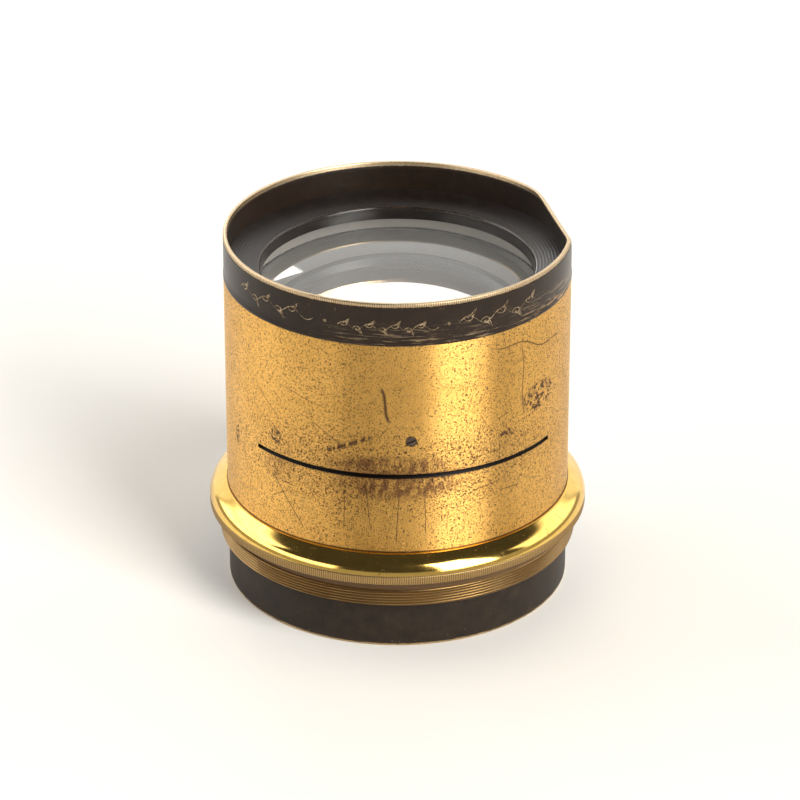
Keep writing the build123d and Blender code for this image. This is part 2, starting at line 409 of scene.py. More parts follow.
# ---------------------------------------------------------------- materials
# marks on the tube: azimuth, height, tilt, half length, width and wave
BELOW_SLOT = [
    (-3.5, 41.0, 87.0, 9.5, 0.24), (5.5, 43.0, 91.0, 8.0, 0.22), (-13.0, 44.0, 96.0, 8.0, 0.20),
    (-21.0, 42.0, 88.0, 6.0, 0.18), (-42.0, 41.5, -52.0, 10.0, 0.26), (-45.5, 43.0, 30.0, 4.5, 0.13),
    (27.0, 48.5, 16.0, 5.0, 0.20, 0.5), (37.0, 45.5, -4.0, 3.2, 0.26),
]
ABOVE_SLOT = [
    (30.0, 92.0, 86.0, 2.0, 0.10), (46.0, 88.0, -14.0, 17.0, 0.34, 0.9),
    (41.5, 78.0, 92.0, 13.0, 0.26, 0.35), (61.0, 84.5, -62.0, 2.6, 0.20),
    (-27.0, 66.5, -28.0, 6.0, 0.18, 0.2), (-24.0, 64.5, -30.0, 4.5, 0.15),
    (-50.0, 70.0, -38.0, 6.0, 0.15), (-36.0, 76.0, -12.0, 9.0, 0.12, 0.2),
    (24.0, 66.0, 80.0, 3.0, 0.18), (33.0, 69.0, 20.0, 2.4, 0.20, 0.3),
    (46.0, 66.0, 10.0, 6.0, 0.15, 0.2), (-8.0, 68.5, 60.0, 2.0, 0.22, 0.4),
    (14.0, 62.0, 3.0, 4.0, 0.13), (26.0, 58.5, 6.0, 6.0, 0.13, 0.15),
]
AT_THE_BACK = [
    (-118.0, 60.0, 25.0, 14.0, 0.16, 0.4), (172.0, 74.0, 78.0, 11.0, 0.15),
    (-150.0, 45.0, -12.0, 9.0, 0.16), (118.0, 52.0, 40.0, 9.0, 0.15, 0.3),
    (148.0, 84.0, -6.0, 12.0, 0.14, 0.4),
]
HOOK = (-7.4, 77.0, -68.0, 6.2, 0.80, 1.0)
DASHED = (-19.5, 64.0, 24.0, 8.5, 1.25)
# blots on the tube: azimuth, height, half width and half height
BLOTS = [
    (54.5, 68.8, 3.2, 2.7), (45.5, 71.5, 2.2, 2.2), (35.0, 63.0, 3.2, 1.8), (-47.0, 60.8, 2.4, 3.2),
    (-70.0, 53.5, 1.4, 3.8), (158.0, 66.0, 5.0, 4.0), (-140.0, 72.0, 4.0, 3.0),
]
PALE_BLOT = (50.0, 70.5, 9.5, 5.5)


def lacquered_brass():
    """Gold lacquer on the tube: dense fine pits, brown stains round the slot, cracks and scratches, and
    painted shade just above the mount ring.
    """
    g = Graph("lacquered_brass")
    broad = g.noise(g.position, 0.045, 3.0)
    cloud = g.noise(g.position, 0.22, 4.0, 0.6)
    grain = g.noise(g.position, 1.5, 3.0, 0.7)
    fine = g.noise(g.position, 3.4, 3.0, 0.7)
    gold = g.ramp(broad, [(0.3, (0.74, 0.42, 0.105)), (0.7, (0.83, 0.48, 0.13))])
    gold = g.mix(g.steps(cloud, 0.45, 0.75, 0.0, 0.3), gold, (0.58, 0.31, 0.07))
    gold = g.mix(g.steps(grain, 0.50, 0.72, 0.0, 0.45), gold, (0.50, 0.25, 0.05))

    # pits, round specks and worm-like cracks, all denser near the slot
    near_slot = g.patch(-4.0, 55.5, 62.0, 15.0, 1.2)
    crack = g.near(g.noise(g.position, 0.80, 2.0, 0.6), 0.5, 0.0, 0.022)
    broken = g.noise(g.position, 0.85, 3.0, 0.6)
    cracks = g.times(crack, g.steps(g.plus(broken, g.times(near_slot, 0.20)), 0.53, 0.58))
    pit_field = g.noise(g.position, 1.85, 3.0, 0.72)
    pits = g.steps(g.plus(pit_field, g.times(near_slot, 0.04)), 0.58, 0.61)
    specks = g.fall(g.cells(g.position, 1.4), 0.20, 0.30)
    specks = g.times(specks, g.steps(fine, 0.36, 0.5))
    spots = g.largest(pits, cracks, g.times(specks, 0.85))

    # brown stain above and below the slot, and dark along its edges
    around = g.times(g.azimuth, GIRTH)
    stain = g.largest(g.patch(-6.0, 57.6, 23.0, 4.4), g.patch(-4.0, 51.2, 25.0, 4.8),
                      g.times(g.patch(-46.0, 51.5, 8.0, 6.0), 0.5))
    ragged = g.noise(g.combine(around, g.times(g.z, 0.45), 0.0), 0.55, 4.0, 0.7)
    stain = g.times(stain, g.steps(ragged, 0.34, 0.60))
    edge_stain = g.times(g.near(g.z, STOP_PLANE / MM, 0.7, 1.5), g.patch(-4.0, 54.7, 30.0, 9.0))
    stain = g.largest(stain, g.times(edge_stain, 0.9))

    # fine upright streaks
    streak = g.noise(g.combine(g.times(g.azimuth, 62.0), g.times(g.z, 0.16), 0.0), 0.75, 2.0, 0.6)
    streak = g.near(streak, 0.5, 0.0, 0.02)
    below = g.times(g.patch(-8.0, 42.0, 30.0, 13.0, 1.1), g.steps(broken, 0.46, 0.56))
    above = g.times(g.patch(6.0, 59.5, 44.0, 7.5, 1.1), g.steps(broken, 0.50, 0.60))
    streaks = g.times(streak, g.largest(below, above))

    # single marks
    scratches = [g.scratch(*row) for row in BELOW_SLOT + ABOVE_SLOT + AT_THE_BACK + [HOOK]]
    gaps = g.steps(g.noise(g.combine(around, 0.0, 0.0), 0.9, 1.0), 0.44, 0.5)
    dashes = g.times(g.scratch(*DASHED), gaps)
    blot_shape = g.steps(g.noise(g.position, 0.75, 4.0, 0.75), 0.47, 0.56)
    blots = g.largest(g.patches(BLOTS), g.times(g.patch(*PALE_BLOT), 0.75))
    blots = g.times(g.steps(blots, 0.1, 0.45), blot_shape)
    marks = g.largest(*scratches, streaks, dashes, blots)

    colour = g.mix(g.times(stain, 0.92), gold, (0.15, 0.055, 0.022))
    colour = g.mix(g.times(spots, 0.98), colour, (0.050, 0.018, 0.004))
    colour = g.mix(marks, colour, (0.060, 0.022, 0.010))
    # painted shade along the joint with the mount ring: a thin dark band on the tube just above it
    foot = g.fall(g.z, RING_TOP / MM + 0.15, RING_TOP / MM + 0.55)
    colour = g.mix(g.times(foot, 0.85), colour, (0.10, 0.04, 0.015))
    slot_wall = g.times(g.fall(g.radius, 49.85, 49.93), g.steps(g.z, 53.0, 53.3),
                        g.fall(g.z, 56.2, 56.5))
    bore = g.fall(g.radius, TUBE_BORE / MM + 0.3, TUBE_BORE / MM + 0.6)
    inside = g.largest(slot_wall, bore)
    colour = g.mix(inside, colour, (0.012, 0.008, 0.006))
    dull = g.largest(spots, marks, g.times(stain, 0.5), inside)
    rough = g.plus(g.plus(0.37, g.times(cloud, 0.07)), g.times(dull, 0.22))
    metal = g.minus(1.0, g.times(dull, 0.65))
    height = g.minus(g.times(fine, 0.2), g.plus(spots, marks))
    return g.surface(colour, rough, metal, g.bump(height, 0.4, 0.00005), turned=1.0)


# nicks in the mount ring, as the marks above
RING_NICKS = [
    (-8.5, 26.6, 55.0, 1.2, 0.16), (-7.0, 26.6, -50.0, 1.3, 0.14), (49.0, 27.4, 70.0, 1.6, 0.16, 0.3),
    (58.0, 28.6, -60.0, 1.4, 0.14), (-31.0, 29.6, 5.0, 1.2, 0.2), (130.0, 28.0, 30.0, 3.0, 0.15),
]


def ring_brass():
    """Polished brass of the mount ring: mirror bright on the bead, brown in grooves and thread, with
    painted shade under the knurl, in the knurl's valleys, below the bead and against the tube.
    """
    g = Graph("ring_brass")
    cloud = g.noise(g.position, 0.30, 4.0, 0.6)
    fine = g.noise(g.position, 3.5, 3.0)
    brass = g.ramp(cloud, [(0.3, (0.78, 0.49, 0.11)), (0.7, (0.86, 0.57, 0.15))])
    band = g.times(g.steps(g.z, 22.5, 22.8), g.fall(g.z, 25.15, 25.3))
    brass = g.mix(band, brass, (0.40, 0.26, 0.10))
    ridge = g.math("SINE", g.times(g.azimuth, float(RIDGES)))
    valley = g.times(band, g.fall(ridge, -0.5, 0.45))
    thread = g.fall(g.z, 22.5, 22.75)
    brass = g.mix(thread, brass, (0.27, 0.165, 0.060))

    # dirt in the thread; dirt and painted shade over its plain land under the knurl's overhang and in
    # the knurl's valleys; painted shade in the groove between the knurl and the bead and in the gap
    # against the tube
    groove = g.times(thread, g.fall(g.radius, 51.80, 52.18))
    land = g.times(thread, g.steps(g.z, THREAD_TOP - 0.2, THREAD_TOP + 0.3))
    bead_groove = g.times(g.steps(g.z, 25.12, 25.22), g.fall(g.z, 25.46, 25.56))
    gap = g.times(g.fall(g.radius, 50.16, 50.26), g.steps(g.z, 29.0, 29.5))
    dirt_and_painted_shade = g.largest(groove, g.times(land, g.steps(cloud, 0.30, 0.62, 1.0, 0.8)), bead_groove,
                     g.times(valley, 0.72), gap)
    colour = g.mix(g.times(dirt_and_painted_shade, 0.9), brass, (0.085, 0.040, 0.012))
    spots = g.steps(g.noise(g.position, 1.1, 4.0, 0.7), 0.655, 0.69)
    flaws = g.largest(g.times(spots, 0.8), *[g.scratch(*row) for row in RING_NICKS])
    colour = g.mix(g.times(flaws, 0.8), colour, (0.16, 0.075, 0.02))
    turned_marks = g.noise(g.combine(0.0, 0.0, g.z), 6.0, 2.0)
    rough = g.plus(0.085, g.times(cloud, 0.05))
    rough = g.plus(rough, g.times(g.largest(thread, band), 0.20))
    rough = g.plus(rough, g.times(g.largest(flaws, dirt_and_painted_shade), 0.25))
    height = g.minus(g.plus(turned_marks, g.times(fine, 0.5)), flaws)
    metal = g.minus(1.0, g.times(dirt_and_painted_shade, 0.7))
    return g.surface(colour, rough, metal, g.bump(height, 0.10, 0.00003))


def black_lacquer():
    """Black lacquer on the hood, worn to pale brass on the milled rim and rubbed at one side."""
    g = Graph("black_lacquer")
    cloud = g.noise(g.position, 0.25, 4.0, 0.6)
    fine = g.noise(g.position, 2.4, 4.0, 0.7)
    black = g.ramp(cloud, [(0.3, (0.013, 0.007, 0.004)), (0.7, (0.022, 0.012, 0.006))])
    brass = g.ramp(fine, [(0.35, (0.50, 0.34, 0.18)), (0.65, (0.80, 0.64, 0.42))])
    outside = g.steps(g.radius, 49.2, 49.7)

    # the milled rim, bare of lacquer
    rim = g.steps(g.z, 107.08, 107.22)
    ridge = g.math("SINE", g.times(g.azimuth, float(MILLING)))
    notch = g.times(rim, g.fall(g.z, 108.05, 108.2), outside,
                    g.fall(ridge, -0.5, 0.5))

    # streaks of wear: a rub at the right and a fainter smear at the front
    around = g.times(g.azimuth, GIRTH)
    streaks = g.noise(g.combine(g.times(around, 0.12), g.times(g.z, 1.6), 0.0), 1.0, 4.0, 0.7)
    low = g.times(g.fall(g.z, 96.0, 103.5), outside)
    rub = g.times(g.steps(streaks, 0.50, 0.62), low, g.near(g.azimuth, math.radians(60.0), 0.10, 0.50))
    smear = g.times(g.steps(streaks, 0.52, 0.66), low, g.near(g.azimuth, math.radians(5.0), 0.2, 0.7),
                    0.42)
    nick = g.fall(g.cells(g.position, 0.9), 0.05, 0.09)
    nick = g.times(nick, outside, g.steps(cloud, 0.5, 0.6))
    inner_edge = g.times(g.steps(g.z, 106.9, 107.2), g.steps(fine, 0.48, 0.6))
    wear = g.largest(rim, g.times(rub, 0.75), smear, g.times(nick, 0.7), inner_edge)
    hair = g.noise(g.combine(around, g.times(g.z, 1.2), g.radius), 0.9, 2.0)
    hair = g.steps(hair, 0.66, 0.72, 0.0, 0.5)
    colour = g.mix(g.times(hair, 0.25), black, (0.11, 0.085, 0.06))
    worn = g.mix(g.times(g.largest(rub, smear), 0.8), brass, (0.55, 0.27, 0.08))
    worn = g.mix(g.times(notch, 0.7), worn, (0.10, 0.055, 0.025))
    colour = g.mix(wear, colour, worn)
    plain = g.plus(g.blend(outside, 0.42, 0.24), g.times(cloud, 0.12))
    rough = g.blend(wear, plain, 0.30)
    height = g.minus(g.times(fine, 0.3), g.plus(wear, hair))
    return g.surface(colour, rough, wear, g.bump(height, 0.25, 0.00004), Specular_IOR_Level=0.22)


def cell_lacquer():
    """Black lacquer on the grooved shoulder of the front cell."""
    g = Graph("cell_lacquer")
    cloud = g.noise(g.position, 0.3, 4.0)
    rings = g.noise(g.combine(g.radius, 0.0, 0.0), 2.2, 3.0, 0.7)
    black = g.ramp(cloud, [(0.3, (0.009, 0.006, 0.005)), (0.7, (0.018, 0.013, 0.010))])
    lip = g.times(g.fall(g.radius, 39.6, 40.3), g.steps(g.z, 97.2, 97.6))
    worn = g.times(lip, g.steps(g.noise(g.position, 1.2, 3.0), 0.42, 0.62))
    colour = g.mix(g.times(worn, 0.25), black, (0.16, 0.09, 0.05))
    rough = g.blend(lip, g.plus(0.26, g.times(cloud, 0.12)), 0.12)
    height = g.plus(rings, g.times(g.noise(g.position, 3.0), 0.3))
    return g.surface(colour, rough, g.times(worn, 0.2), g.bump(height, 0.35, 0.00006))


def worn_black():
    """Black-brown lacquer of the rear cell, rubbed thin, with a bare brass edge at the foot."""
    g = Graph("worn_black")
    cloud = g.noise(g.position, 0.20, 5.0, 0.65)
    fine = g.noise(g.position, 1.8, 4.0, 0.7)
    black = g.ramp(cloud, [(0.30, (0.014, 0.009, 0.006)), (0.60, (0.026, 0.017, 0.010)),
                           (0.78, (0.060, 0.033, 0.016))])
    brass = g.ramp(fine, [(0.35, (0.36, 0.22, 0.09)), (0.65, (0.70, 0.52, 0.28))])
    foot = g.fall(g.plus(g.z, cloud), 0.75, 1.35)
    chips = g.times(g.steps(fine, 0.66, 0.72), g.steps(g.z, 0.5, 5.0, 1.0, 0.15))
    wear = g.largest(foot, g.times(chips, 0.8))
    colour = g.mix(wear, black, brass)
    rough = g.blend(wear, g.plus(0.38, g.times(cloud, 0.2)), 0.32)
    height = g.minus(g.times(fine, 0.5), wear)
    return g.surface(colour, rough, wear, g.bump(height, 0.3, 0.00004), Specular_IOR_Level=0.20)


def inner_black():
    """Matt black of the parts inside the barrel."""
    g = Graph("inner_black")
    fine = g.noise(g.position, 3.0, 3.0)
    colour = g.ramp(fine, [(0.3, (0.010, 0.009, 0.008)), (0.7, (0.028, 0.024, 0.021))])
    return g.surface(colour, g.plus(0.5, g.times(fine, 0.2)), 0.0, g.bump(fine, 0.2, 0.00003))


def inner_brass():
    """Plain brass of the small screws inside."""
    g = Graph("inner_brass")
    fine = g.noise(g.position, 2.5, 3.0)
    colour = g.ramp(fine, [(0.3, (0.45, 0.28, 0.10)), (0.7, (0.62, 0.42, 0.18))])
    return g.surface(colour, g.plus(0.3, g.times(fine, 0.15)), 1.0, g.bump(fine, 0.2, 0.00003))


def dark_screw():
    """Blackened steel screw, a little rubbed on top."""
    g = Graph("dark_screw")
    fine = g.noise(g.position, 4.0, 3.0)
    colour = g.ramp(fine, [(0.35, (0.045, 0.035, 0.028)), (0.7, (0.16, 0.12, 0.09))])
    return g.surface(colour, g.plus(0.32, g.times(fine, 0.2)), 1.0, g.bump(fine, 0.25, 0.00003))


def engraved_brass():
    """Bright cut lines through the lacquer, dulled in places."""
    g = Graph("engraved_brass")
    patchy = g.noise(g.position, 0.9, 3.0)
    colour = g.ramp(patchy, [(0.38, (0.09, 0.055, 0.03)), (0.62, (0.50, 0.38, 0.23))])
    return g.surface(colour, g.plus(0.35, g.times(patchy, 0.2)), 0.9, g.bump(patchy, 0.2, 0.00003))


def optical_glass():
    """Polished glass, roughened very slightly by dust in places."""
    g = Graph("optical_glass")
    dust = g.steps(g.noise(g.position, 0.8, 4.0, 0.7), 0.5, 0.8, 0.0, 0.05)
    node = g.add("ShaderNodeBsdfPrincipled")
    node.inputs["Base Color"].default_value = (0.985, 0.975, 0.94, 1.0)
    node.inputs["Transmission Weight"].default_value = 0.93
    node.inputs["IOR"].default_value = 1.52
    g.link(g.times(dust, 0.2), node.inputs["Roughness"])
    g.link(node.outputs[0], g.output.inputs["Surface"])
    return g.material


def ground_edge():
    """Fine-ground edge of the glass, left pale."""
    g = Graph("ground_edge")
    fine = g.noise(g.position, 1.2, 3.0)
    colour = g.ramp(fine, [(0.3, (0.86, 0.83, 0.77)), (0.7, (0.95, 0.92, 0.86))])
    return g.surface(colour, 0.7, 0.0)


# ---------------------------------------------------------------- pieces
def barrel_tube():
    """The tube as two shells joined by end rings, with the slot's walls between them."""
    end = math.asin(SLOT_HALF / TUBE_R)
    inner_end = math.asin(SLOT_HALF / TUBE_BORE)
    in_slot, outside = 220, 300
    outer = np.concatenate([np.linspace(-end, end, in_slot, False),
                            np.linspace(end, TAU - end, outside, False)])
    inner = np.concatenate([np.linspace(-inner_end, inner_end, in_slot, False),
                            np.linspace(inner_end, TAU - inner_end, outside, False)])
    columns = in_slot + outside
    ease = 0.06 * MM  # broken edge of the slot
    bevel = 0.15 * MM  # at the tube's top
    between = (40 * MM, 75 * MM)  # plain rows that keep the wall's faces short
    outer_rows = [
        (SPIGOT_R, TUBE_FOOT), (SPIGOT_R, SHOULDER_Z), (TUBE_R, SHOULDER_Z), (TUBE_R, between[0]),
        (TUBE_R, SLOT_LOW - ease), (TUBE_R - ease, SLOT_LOW), (TUBE_R - ease, SLOT_HIGH),
        (TUBE_R, SLOT_HIGH + ease), (TUBE_R, between[1]), (TUBE_R, TUBE_TOP - bevel),
        (TUBE_R - bevel, TUBE_TOP)]
    inner_rows = [(TUBE_BORE, z) for z in (TUBE_TOP, SLOT_HIGH, SLOT_LOW, TUBE_FOOT)]
    vertices = []
    for r, z in outer_rows:
        flat = r if z not in (SLOT_LOW, SLOT_HIGH) else TUBE_R
        for j, a in enumerate(outer):
            use = r if j <= in_slot else flat
            vertices.append((use * math.sin(a), -use * math.cos(a), z))
    for r, z in inner_rows:
        for a in inner:
            vertices.append((r * math.sin(a), -r * math.cos(a), z))
    rows = len(outer_rows) + len(inner_rows)
    slot_row = 5  # of the outer rows, at the slot's foot
    inner_slot_row = len(outer_rows) + 1  # at its head, since the inner rows run downwards
    faces = []
    for i in range(rows):
        a, b = i * columns, ((i + 1) % rows) * columns
        for j in range(columns):
            if i in (slot_row, inner_slot_row) and j < in_slot:
                continue
            k = (j + 1) % columns
            faces.append((a + j, a + k, b + k, b + j))
    low_out, high_out = slot_row * columns, (slot_row + 1) * columns
    high_in, low_in = inner_slot_row * columns, (inner_slot_row + 1) * columns
    for j in range(in_slot):
        faces.append((low_out + j, low_in + j, low_in + j + 1, low_out + j + 1))
        faces.append((high_out + j, high_out + j + 1, high_in + j + 1, high_in + j))
    faces.append((low_out, high_out, high_in, low_in))
    faces.append((low_out + in_slot, low_in + in_slot, high_in + in_slot, high_out + in_slot))
    obj = new_object("tube", vertices, faces, "barrel", "lacquered_brass", "barrel_tube")
    sink = [(1.62 * MM, -1.2 * MM), (1.62 * MM, 2 * MM)]
    for azimuth in SCREW_AZIMUTHS:
        cut(obj, plain_mesh("cutter", *turned_radially(azimuth, sink)))
    return smooth(obj)


def radial_axes(azimuth):
    """Outward, sideways and the point on the tube, at screw height, for degrees from +X."""
    a = math.radians(azimuth)
    out = Vector((math.cos(a), math.sin(a), 0))
    side = Vector((-math.sin(a), math.cos(a), 0))
    return out, side, out * TUBE_R + Vector((0, 0, SCREW_Z))


def turned_radially(azimuth, outline, columns=48):
    """A closed turning round a radial axis; outline is (radius, height above the tube)."""
    out, side, base = radial_axes(azimuth)
    up = Vector((0, 0, 1))
    vertices = []
    for r, h in outline:
        for j in range(columns):
            a = j * TAU / columns
            vertices.append(base + out * h + (side * math.cos(a) + up * math.sin(a)) * r)
    faces = []
    for i in range(len(outline) - 1):
        for j in range(columns):
            k = (j + 1) % columns
            near, far = i * columns, (i + 1) * columns
            faces.append((near + j, near + k, far + k, far + j))
    faces.append(tuple(range(columns))[::-1])
    last = (len(outline) - 1) * columns
    faces.append(tuple(last + j for j in range(columns)))
    return vertices, faces


def plain_mesh(name, vertices, faces):
    """A loose mesh object, used as a cutter."""
    mesh = bpy.data.meshes.new(name)
    mesh.from_pydata([tuple(v) for v in vertices], [], faces)
    face_outwards(mesh)
    obj = bpy.data.objects.new(name, mesh)
    bpy.context.scene.collection.objects.link(obj)
    return obj


def cut(obj, cutter):
    """Takes the cutter out of the object and removes the cutter."""
    change = obj.modifiers.new("cut", "BOOLEAN")
    change.operation = "DIFFERENCE"
    change.object = cutter
    change.solver = "EXACT"
    apply_modifiers(obj)
    bpy.data.objects.remove(cutter)


def screws():
    """Three slotted screws with softly rounded heads, sunk flush in the tube."""
    vertices, faces = [], []
    outline = [(0.9, -3.6), (0.9, -1.0), (1.45, -0.9), (1.5, -0.12), (1.42, 0.0), (1.2, 0.07),
               (0.7, 0.12), (0.2, 0.13)]
    outline = [(r * MM, h * MM) for r, h in outline]
    for azimuth in SCREW_AZIMUTHS:
        v, f = turned_radially(azimuth, outline)
        f = [tuple(i + len(vertices) for i in face) for face in f]
        vertices += v
        faces += f
    obj = new_object("screws", vertices, faces, "barrel", "dark_screw", "barrel_screws")
    face_outwards(obj.data)
    turn = math.radians(24)  # of each driver slot, from level
    for azimuth in SCREW_AZIMUTHS:
        out, side, base = radial_axes(azimuth)
        up = Vector((0, 0, 1))
        along = side * math.cos(turn) + up * math.sin(turn)
        across = up * math.cos(turn) - side * math.sin(turn)
        corners = []
        for depth in (-0.42 * MM, 0.5 * MM):
            for u, v in ((-1, -1), (1, -1), (1, 1), (-1, 1)):
                corners.append(base + out * depth + along * u * 2 * MM + across * v * 0.21 * MM)
        sides = [(0, 1, 2, 3), (4, 7, 6, 5), (0, 4, 5, 1), (1, 5, 6, 2), (2, 6, 7, 3), (3, 7, 4, 0)]
        cut(obj, plain_mesh("cutter", corners, sides))
    return smooth(obj, 35)


def threaded(angles):
    """Profile of the threaded sleeve: a helical saw-tooth that fades out at its foot and top."""
    samples = 8  # to a turn of the thread
    pitch = (THREAD_TOP - SLEEVE_FOOT) / THREAD_TURNS
    height = SLEEVE_FOOT + pitch * (np.arange(THREAD_TURNS * samples + 1) / samples)
    phase = height[:, None] / pitch - angles[None, :] / TAU
    saw = np.abs((phase % 1.0) * 2 - 1)
    crest = np.clip(saw * 1.5 - 0.1, 0, 1)
    fade = np.clip((height - SLEEVE_FOOT) / 0.5, 0, 1) * np.clip((THREAD_TOP - height) / 0.3, 0, 1)
    r = THREAD_R - THREAD_DEPTH * (1 - crest) - 0.25 * (1 - fade)[:, None]
    rows = [np.stack([r, np.broadcast_to(height[:, None], r.shape)], -1)]
    for corner in ((NECK_R, SLEEVE_TOP), (SLEEVE_BORE, SLEEVE_TOP), (SLEEVE_BORE, SLEEVE_FOOT)):
        rows.append(np.broadcast_to(corner, (1, len(angles), 2)))
    return np.concatenate(rows) * MM


def mount_ring():
    """The bead and knurled band as one turned ring, and the threaded sleeve under it."""
    foot = [(50.04, 24.0), (SLEEVE_BORE, 24.0), (SLEEVE_BORE, SLEEVE_TOP), (NECK_R, SLEEVE_TOP),
            (NECK_R, BAND_FOOT)]
    band = [(54.9, BAND_FOOT), (55.16, 22.86), (BAND_R, 23.05), (BAND_R, 24.86), (55.16, 25.05),
            (54.92, 25.23), (54.92, 25.40)]
    top = [(50.40, BEAD_TOP), (50.10, BEAD_TOP), (50.04, 30.42)]
    outline = in_metres(foot + band + bezier(BEAD_GUIDES, 22)[::-1] + top)
    depths = np.zeros(len(outline))
    depths[6:10] = (0.08, 0.17, 0.17, 0.08)  # of the knurl, on the band's four outer points
    vertices, faces = ring_grid(notched(outline, depths, RIDGES), len(outline), RIDGES * 4)

    sleeve_columns = 480
    sleeve_rows = threaded(np.zeros(1)).shape[0]
    sleeve_vertices, sleeve_faces = ring_grid(threaded, sleeve_rows, sleeve_columns)
    faces += [tuple(i + len(vertices) for i in face) for face in sleeve_faces]
    vertices = np.concatenate([vertices, sleeve_vertices])
    obj = new_object("mount_ring_turned", vertices, faces, "barrel", "ring_brass", "mount_ring")
    return smooth(obj, 40)


def dented(vertices):
    """Knocks one side of the rim flat: the wall moves in to a chord that fades down the band."""
    v = np.array(vertices)
    normal = np.array([math.cos(DENT_AZIMUTH), math.sin(DENT_AZIMUTH)])
    along = np.array([-normal[1], normal[0]])
    radius = np.hypot(v[:, 0], v[:, 1])
    unit = v[:, :2] / radius[:, None]
    reach = HOOD_R * (unit @ normal)
    drop = np.clip((v[:, 2] - (HOOD_TOP - DENT_DEEP)) / DENT_DEEP, 0, 1)
    free = HOOD_R + 0.35 * MM  # a chord that touches nothing
    limit = free - (free - DENT_R) * drop**1.25
    side = unit @ along
    soft = (0.22 + 0.75 * np.clip(side * 2.2, 0, 1)) * MM
    over = reach - limit
    push = soft * np.logaddexp(0, over / soft) * (drop > 0)
    fade = np.clip(drop / 0.15, 0, 1)
    v[:, :2] -= normal[None, :] * (push * fade)[:, None]
    return v


def front_hood():
    """The thin band with its milled rim."""
    band_r = HOOD_R / MM
    foot = [(HOOD_BORE, HOOD_FOOT), (50.02, HOOD_FOOT), (50.08, 95.60), (50.12, 95.92), (50.08, 96.25),
            (50.02, 96.50), (band_r, 96.70)]
    band = [(band_r, z) for z in (98.5, 100.5, 102.5, 104.5, 106.2, 106.92)]
    rim = [(49.74, 107.06), (49.74, 107.16), (49.90, 107.30), (49.94, 107.50), (49.94, 107.85),
           (49.86, 108.08), (49.66, 108.20), (49.40, 108.25), (49.10, 108.25), (48.88, 108.18),
           (48.78, 108.02), (48.78, 107.2), (48.60, 106.9)]
    bore = [(HOOD_BORE, z) for z in (106.0, 103.5, 101.5, 99.6)]
    outline = in_metres(foot + band + rim + bore)
    depths = np.zeros(len(outline))
    depths[15:20] = (0.03, 0.09, 0.11, 0.09, 0.04)  # of the milling, over the rim's rounded outside
    vertices, faces = ring_grid(notched(outline, depths, MILLING), len(outline), MILLING * 4)
    obj = new_object("hood", dented(vertices), faces, "front_cell", "black_lacquer", "front_hood")
    return smooth(obj, 40)


def front_cell():
    """The grooved shoulder, its rounded lip and the body behind, which holds the front group."""
    inner, outer = (40.5, 97.86), (48.42, 99.58)
    steps = 26
    shoulder = []
    for k in range(steps + 1):
        t = k / steps
        groove = 0.05 if k % 3 == 1 else 0.0
        shoulder.append((inner[0] + (outer[0] - inner[0]) * t,
                         inner[1] + (outer[1] - inner[1]) * t - groove))
    lip = [(40.15, 97.80), (39.85, 97.72), (39.62, 97.56), (39.47, 97.32), (LIP_R, 97.0), (LIP_R, 95.7)]
    outline = [(outer[0], HOOD_FOOT), (48.46, 95.46), (48.46, 99.5)] + shoulder[::-1] + lip
    outline += [(LIP_R, CELL_SEAT), (BODY_BORE, CELL_SEAT), (BODY_BORE, NUT_TOP), (NUT_BORE, NUT_TOP),
                (NUT_BORE, CELL_END), (BODY_R, CELL_END), (BODY_R, 89.42), (47.9, 89.42),
                (47.9, HOOD_FOOT)]
    return lathe("front_cell_turned", in_metres(outline), 360, "front_cell", "black_lacquer",
                 "front_lens_cell")


def rear_cell():
    """The rear ring with its rim, and the body that holds the rear group."""
    outline = [
        (REAR_R, SLEEVE_FOOT, 0.15), (47.9, SLEEVE_FOOT, 0), (47.9, 20.17, 0), (BODY_R, 20.17, 0),
        (BODY_R, MIRROR - CELL_END, 0), (NUT_BORE, MIRROR - CELL_END, 0),
        (NUT_BORE, MIRROR - NUT_TOP, 0), (BODY_BORE, MIRROR - NUT_TOP, 0),
        (BODY_BORE, MIRROR - CELL_SEAT, 0),
        (LIP_R, MIRROR - CELL_SEAT, 0), (LIP_R, MIRROR - 97.75, 0.7), (REAR_BORE, MIRROR - 99.6, 0.3),
        (REAR_BORE, 0.0, 0.25), (REAR_R, 0.0, 0.45)]
    return lathe("rear_cell_turned", rounded(outline), 480, "rear_cell", "worn_black", "rear_lens_cell")


